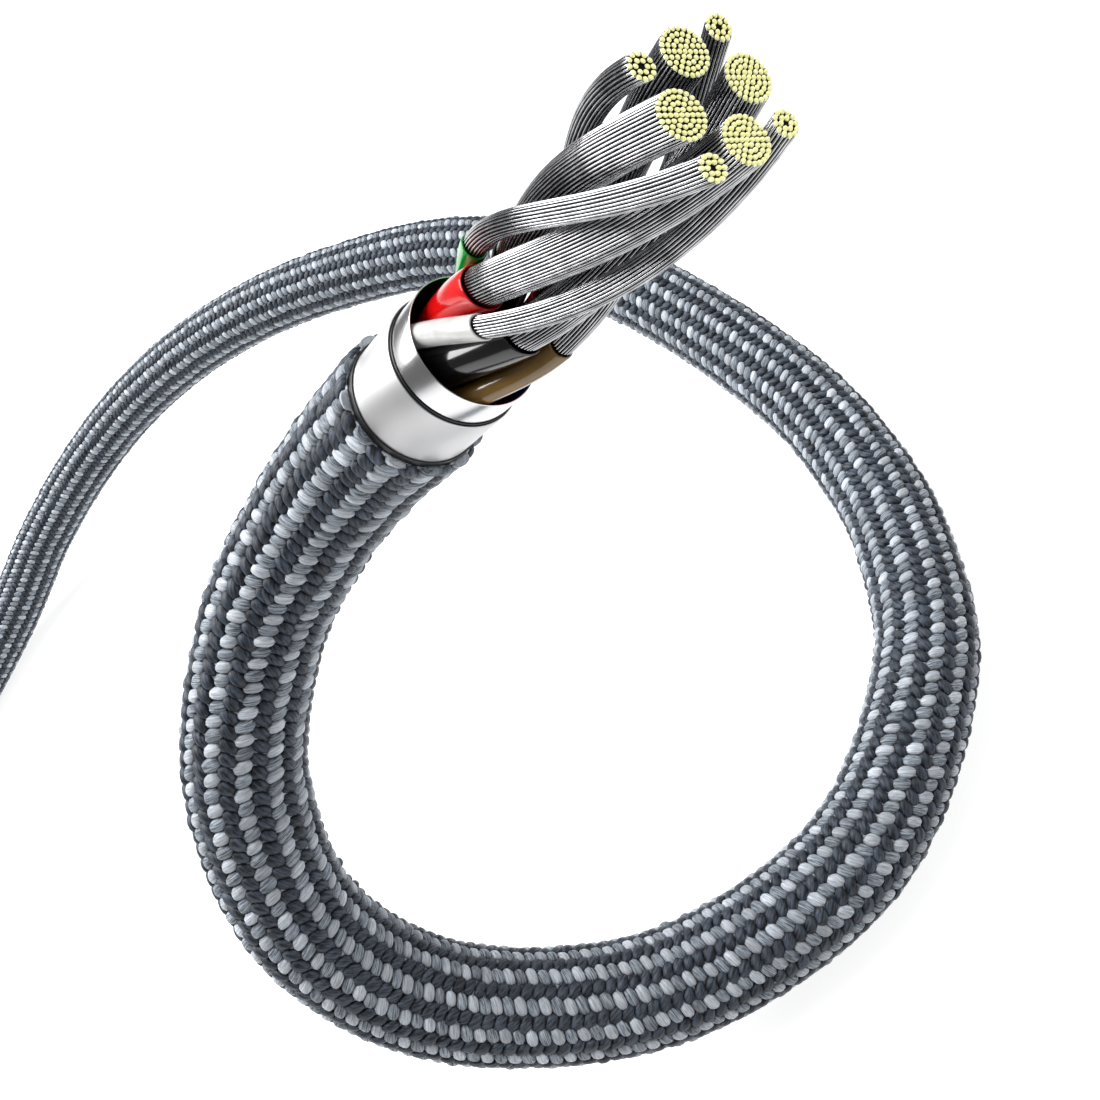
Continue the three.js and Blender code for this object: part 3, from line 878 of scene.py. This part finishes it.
# The plug's strain relief: a ribbed sleeve of soft grey elastomer moulded over the cable, whose broad
# end meets the housing. The plug's frame runs along the plug from where the relief begins.
fit_clearance = 0.1
relief_bore = cable_radius + fit_clearance
relief_tip = relief_bore + 0.35
relief_flange = 2.8
relief_grooves = 4
groove_depth = 0.22
groove_reach = 0.336
groove_power = 4
tip_edge = [(-0.12, 0.0), (-0.035, 0.035)]
flange_edge = [(-0.03, -0.02), (-0.1, 0.0)]
slope_from = 0.12
slope_to = 0.08
relief_sides = 72
relief_steps = 90
plug_across = np.cross((0.0, 0.0, 1.0), plug_along)
plug_up = np.array([0.0, 0.0, 1.0])


def from_plug(x, y, z):
    """The point x and y off the plug's middle line, across and up, and z along it."""
    return plug_foot + z[..., None] * plug_along + x[..., None] * plug_across + y[..., None] * plug_up


def moulded_finish(name, light, dark, roughness, grain_scale, depth, metallic=0.0):
    """A moulded or blasted surface: a fine even grain in the height, and a faint one in the colour."""
    made, tree, shader = new_material(name, {"Roughness": roughness, "Metallic": metallic})
    grain = grain_of(tree, grain_scale, 3.0)
    link(tree, between(tree, grain, dark, light), shader.inputs["Base Color"])
    set_relief(tree, shader, grain, 0.4, depth)
    return made


def relief_outline():
    """The sleeve's profile: a straight slope from tip to flange, less a groove at each middle whose
    depth falls off as the exponential of minus the fourth power of the distance."""
    end = relief_length - fit_clearance
    z = np.linspace(slope_from, end - slope_to, relief_steps)
    middles = relief_length / (relief_grooves + 2) * np.arange(1, relief_grooves + 1)
    grooves = np.exp(-(((z[:, None] - middles) / groove_reach) ** groove_power)).sum(axis=1)
    reach = relief_tip + (relief_flange - relief_tip) * z / relief_length - groove_depth * grooves
    tip = [(relief_tip + more, at) for more, at in tip_edge]
    flange = [(relief_flange + more, end + at) for more, at in flange_edge]
    return [(relief_bore, 0.0)] + tip + list(zip(reach, z)) + flange + [(relief_bore, end)]


relief_points, relief_faces = turned(relief_outline(), relief_sides, from_plug)
relief = make_mesh("strain_relief_sleeve", relief_points, relief_faces)
relief.data.materials.append(moulded_finish(
    "soft_grey_elastomer", colour(98, 105, 113), colour(80, 86, 94), 0.62, 5000.0, 0.012,
))
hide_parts("strain_relief")

# The plug's housing: a blasted, anodised aluminium sleeve with rounded corners and softened ends,
# and a pocket in its front face for the metal shell.
housing_length = 20.0
housing_width = 11.4
housing_height = 6.0
housing_corner = 2.4
housing_edge = 0.5
shell_width = 8.25
shell_height = 2.4
shell_wall = 0.3
shell_seat = 3.0
shell_out = 6.65
side_shares = (0.02, 0.25, 0.5, 0.75, 0.98)
corner_steps = 12
mouth_bevel = 0.05
mouth_depth = 0.3


def rounded_ring(width, height, corner, steps=corner_steps):
    """A rectangle whose corners are quarter circles, as points in order: each corner's middle plus
    the corner's radius times the cosine and sine of its angle. Straight sides join the quarters."""
    quarter = np.linspace(0, math.pi / 2, steps)
    angle = np.concatenate([quarter + n * math.pi / 2 for n in range(4)])
    sign_x = np.repeat([1, -1, -1, 1], steps)
    sign_y = np.repeat([1, 1, -1, -1], steps)
    x = sign_x * (width / 2 - corner) + corner * np.cos(angle)
    y = sign_y * (height / 2 - corner) + corner * np.sin(angle)
    return np.stack([x, y], axis=-1)


def lofted(name, rings, closed=False):
    """A surface through rings of the plug, each an outline and its place along the plug. A loft that
    isn't closed on itself ends in a point at the middle of its first and last rings."""
    outlines = [outline for outline, at in rings]
    places = [at for outline, at in rings]
    if not closed:
        outlines = [outlines[0] * 0.0] + outlines + [outlines[-1] * 0.0]
        places = [places[0]] + places + [places[-1]]
    section = np.stack(outlines)
    sides = section.shape[1]
    z = np.repeat(np.array(places)[:, None], sides, axis=1)
    points = from_plug(section[..., 0], section[..., 1], z).reshape(-1, 3)
    if closed:
        faces = tube_faces(len(places) + 1, sides) % (len(places) * sides)
    else:
        faces = tube_faces(len(places), sides)
    return make_mesh(name, points, faces)


def inset_ring(width, height, corner, inset):
    """The rounded rectangle with its outline moved inwards by an inset, or outwards where it is
    below 0."""
    return rounded_ring(width - 2 * inset, height - 2 * inset, corner - inset)


def softened(width, height, corner, edge, low, high, steps=6):
    """The rings of a rounded bar whose two ends are rounded over by quarter circles of an edge."""
    turn = np.linspace(0, math.pi / 2, steps)
    rings = [inset_ring(width, height, corner, edge * (1 - s)) for s in np.sin(turn)]
    rise = edge * (1 - np.cos(turn))
    first = [(ring, low + up) for ring, up in zip(rings, rise)]
    last = [(ring, high - up) for ring, up in zip(rings, rise)]
    return first, last[::-1]


def opening(width, height, corner, face, bottom):
    """The rings of a hole in a front face: a small bevel at its mouth, and straight to its bottom."""
    lip = inset_ring(width, height, corner, -mouth_bevel)
    ring = rounded_ring(width, height, corner)
    return [(lip, face), (ring, face - mouth_bevel), (ring, face - mouth_depth), (ring, bottom)]


housing_end = relief_length + housing_length
shell_start = housing_end - shell_seat
back, front = softened(
    housing_width, housing_height, housing_corner, housing_edge, relief_length, housing_end,
)
sides = [
    (back[-1][0], relief_length + housing_edge + share * (housing_length - 2 * housing_edge))
    for share in side_shares
]
pocket = opening(
    shell_width + 2 * fit_clearance, shell_height + 2 * fit_clearance, shell_height / 2,
    housing_end, shell_start - fit_clearance,
)
housing = lofted("plug_housing_body", back + sides + front + pocket)
housing.data.materials.append(moulded_finish(
    "anodised_grey", colour(120, 127, 136), colour(104, 111, 120), 0.42, 14000.0, 0.006, metallic=0.7,
))
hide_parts("plug_housing")

# The plug's shell: a drawn tube of plated steel with the standard outline, open in front and rounded
# over at its mouth. It is pressed into the housing's pocket.
shell_end = housing_end + shell_out
flat_side = 0.01
shell_corner = shell_height / 2 - flat_side
before_lip = (1.0, 0.2)
lip_points = 9
lip_turn = np.linspace(0, math.pi, lip_points)
lip_inset = shell_wall / 2 * (1 - np.cos(lip_turn))
lip_rise = shell_wall / 2 * np.sin(lip_turn)
shell_rings = [(0.0, shell_start), (0.0, housing_end)]
shell_rings += [(0.0, shell_end - before) for before in before_lip]
shell_rings += [(inset, shell_end - shell_wall / 2 + rise) for inset, rise in zip(lip_inset, lip_rise)]
shell_rings += [(shell_wall, shell_end - before) for before in before_lip[::-1]]
shell_rings += [(shell_wall, shell_start)]
shell = lofted("plug_shell_tube", [
    (inset_ring(shell_width, shell_height, shell_corner, inset), at) for inset, at in shell_rings
], closed=True)
shell.data.materials.append(moulded_finish(
    "plated_steel", colour(214, 215, 217), colour(196, 198, 201), 0.2, 900.0, 0.01, metallic=1.0,
))
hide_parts("plug_shell")

# The contact carrier fills the shell behind its mouth: black moulded plastic with a slot, and in the
# slot two rows of twelve gilt spring contacts, pressed in from behind.
carrier_clearance = 0.05
carrier_width = shell_width - 2 * shell_wall - 2 * carrier_clearance
carrier_height = shell_height - 2 * shell_wall - 2 * carrier_clearance
carrier_corner = carrier_height / 2 - flat_side
carrier_edge = 0.08
carrier_inset = 0.5
carrier_end = shell_end - carrier_inset
slot_width = 6.4
slot_height = 0.9
slot_depth = 5.4
slot_corner = 0.225
back, front = softened(
    carrier_width, carrier_height, carrier_corner, carrier_edge, shell_start, carrier_end, 4,
)
contact_slot = opening(slot_width, slot_height, slot_corner, carrier_end, carrier_end - slot_depth)
carrier = lofted("contact_carrier_block", back + front + contact_slot)
carrier.data.materials.append(moulded_finish(
    "black_moulding", colour(24, 24, 26), colour(14, 14, 16), 0.4, 6000.0, 0.008,
))
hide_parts("contact_carrier")
contact_count = 12
contact_pitch = 0.5
contact_width = 0.25
contact_thickness = 0.08
contact_corner = 0.03
contact_length = 3.6
contact_back = 0.6
contact_sink = 0.02
contact_rise = 0.12
bow_steps = 12
bow = np.linspace(0, 1, bow_steps)[:, None]
strip_ring = rounded_ring(contact_width, contact_thickness, contact_corner, 3)
strip_rows = np.concatenate([[0], np.arange(len(bow)), [len(bow) - 1]])
contact_points = []
for n in range(contact_count):
    for way in (-1, 1):
        lift = slot_height / 2 - contact_sink - contact_rise * np.sin(math.pi * bow) ** 2
        x = (n - (contact_count - 1) / 2) * contact_pitch + strip_ring[:, 0]
        y = way * lift + strip_ring[:, 1]
        z = carrier_end - contact_back - contact_length * (1 - bow)
        x, y, z = (part[strip_rows] for part in np.broadcast_arrays(x, y, z))
        for row in (0, -1):
            x[row] = x[row].mean()
            y[row] = y[row].mean()
        contact_points.append(from_plug(x, y, z).reshape(-1, 3))
strip_faces = tube_faces(len(strip_rows), len(strip_ring))
contact_faces = repeated(strip_faces, len(contact_points), len(strip_rows) * len(strip_ring))
contacts = make_mesh("gilt_contacts", np.concatenate(contact_points), contact_faces)
contacts.data.materials.append(moulded_finish(
    "gilt_spring", colour(236, 196, 110), colour(214, 170, 84), 0.25, 4000.0, 0.004, metallic=1.0,
))

# The floor is a wide sheet of pale matt paper, under everything and as far as any view reaches. A
# little glow of its own keeps it near white beside the cable.
floor_reach = 4000.0
floor_corners = [(-1, -1), (1, -1), (1, 1), (-1, 1)]
floor_mesh = bpy.data.meshes.new("floor")
floor_mesh.from_pydata(
    [(x * floor_reach * mm, y * floor_reach * mm, 0) for x, y in floor_corners], [], [(0, 1, 2, 3)],
)
floor = bpy.data.objects.new("floor", floor_mesh)
bpy.context.scene.collection.objects.link(floor)
floor_mesh.materials.append(new_material("white_sweep", {
    "Base Color": (0.35, 0.35, 0.35, 1), "Roughness": 0.9, "Specular IOR Level": 0.1,
    "Emission Color": (1, 1, 1, 1), "Emission Strength": 0.85,
})[0])

# Studio light: a dim room, a large soft box at the upper left, one overhead and a narrow one at the
# right. Each is placed from the middle of the loop along the camera's own right, up and forward.
room_light = 0.16
diffuse_light = 0.08
room = bpy.data.worlds.new("studio")
bpy.context.scene.world = room
room.use_nodes = True
rays = add_node(room.node_tree, "ShaderNodeLightPath")
seen_room = room.node_tree.nodes["Background"]
seen_room.inputs["Color"].default_value = (1, 1, 1, 1)
room_level = calc(
    room.node_tree, "MULTIPLY_ADD",
    rays.outputs["Is Diffuse Ray"], diffuse_light, rays.outputs["Is Camera Ray"],
)
link(room.node_tree, calc(room.node_tree, "ADD", room_level, room_light), seen_room.inputs["Strength"])
loop_middle = np.array([60.0, -6.0, 12.0])


def soft_box(name, to_right, to_up, to_front, distance, width, height, watts):
    """A rectangular area light at a distance from the loop's middle, in a direction given along the
    camera's right, up and backwards, and facing the loop's middle."""
    towards = (to_right * np.array(camera_right) + to_up * np.array(camera_up)
               - to_front * np.array(camera_forward))
    towards /= np.linalg.norm(towards)
    data = bpy.data.lights.new(name, "AREA")
    data.shape = "RECTANGLE"
    data.size = width * mm
    data.size_y = height * mm
    data.energy = watts
    lamp = bpy.data.objects.new(name, data)
    bpy.context.scene.collection.objects.link(lamp)
    place = (loop_middle + towards * distance) * mm
    level = unit(np.cross((0.0, 0.0, 1.0), towards))
    upright = np.cross(towards, level)
    lamp.matrix_world = Matrix((
        (level[0], upright[0], towards[0], place[0]),
        (level[1], upright[1], towards[1], place[1]),
        (level[2], upright[2], towards[2], place[2]),
        (0, 0, 0, 1),
    ))


soft_box("key_box", -0.85, 0.35, 0.25, 320, 250, 350, 2.4)
soft_box("top_box", 0.1, 0.95, 0.55, 380, 400, 260, 0.55)
soft_box("right_box", 0.95, 0.1, 0.1, 300, 120, 300, 0.18)
bpy.context.scene.view_settings.view_transform = "Standard"
